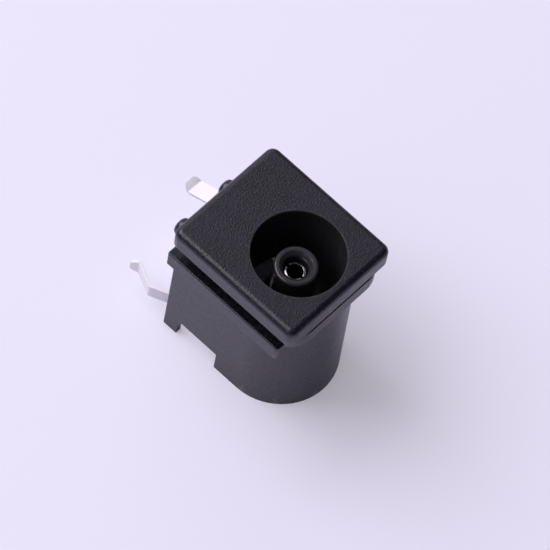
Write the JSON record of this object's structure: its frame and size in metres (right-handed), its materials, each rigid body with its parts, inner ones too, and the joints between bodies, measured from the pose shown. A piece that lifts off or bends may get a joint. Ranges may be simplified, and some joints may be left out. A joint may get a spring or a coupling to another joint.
{
  "type": "dc barrel jack",
  "caption": "Right-angle board-mounted DC barrel jack with a square flange, a moulded black housing, locating pegs and kinked tinned terminals.",
  "frame": {"origin": "on the plug axis, in the plane of the rear end of the barrel", "axes": "+Z along the plug axis and out of the mouth, +Y towards the board, +X across the mouth to the right-hand side seen from the mouth with the board side up"},
  "size_m": [0.0092, 0.0142, 0.013],
  "materials": {
    "black_plastic": "matte",
    "tinned_brass": "satin"
  },
  "bodies": {
    "root": {"housing": "black_plastic", "centre_contact": "tinned_brass", "sleeve_spring": "tinned_brass", "switch_contact": "tinned_brass"}
  },
  "joints": []
}
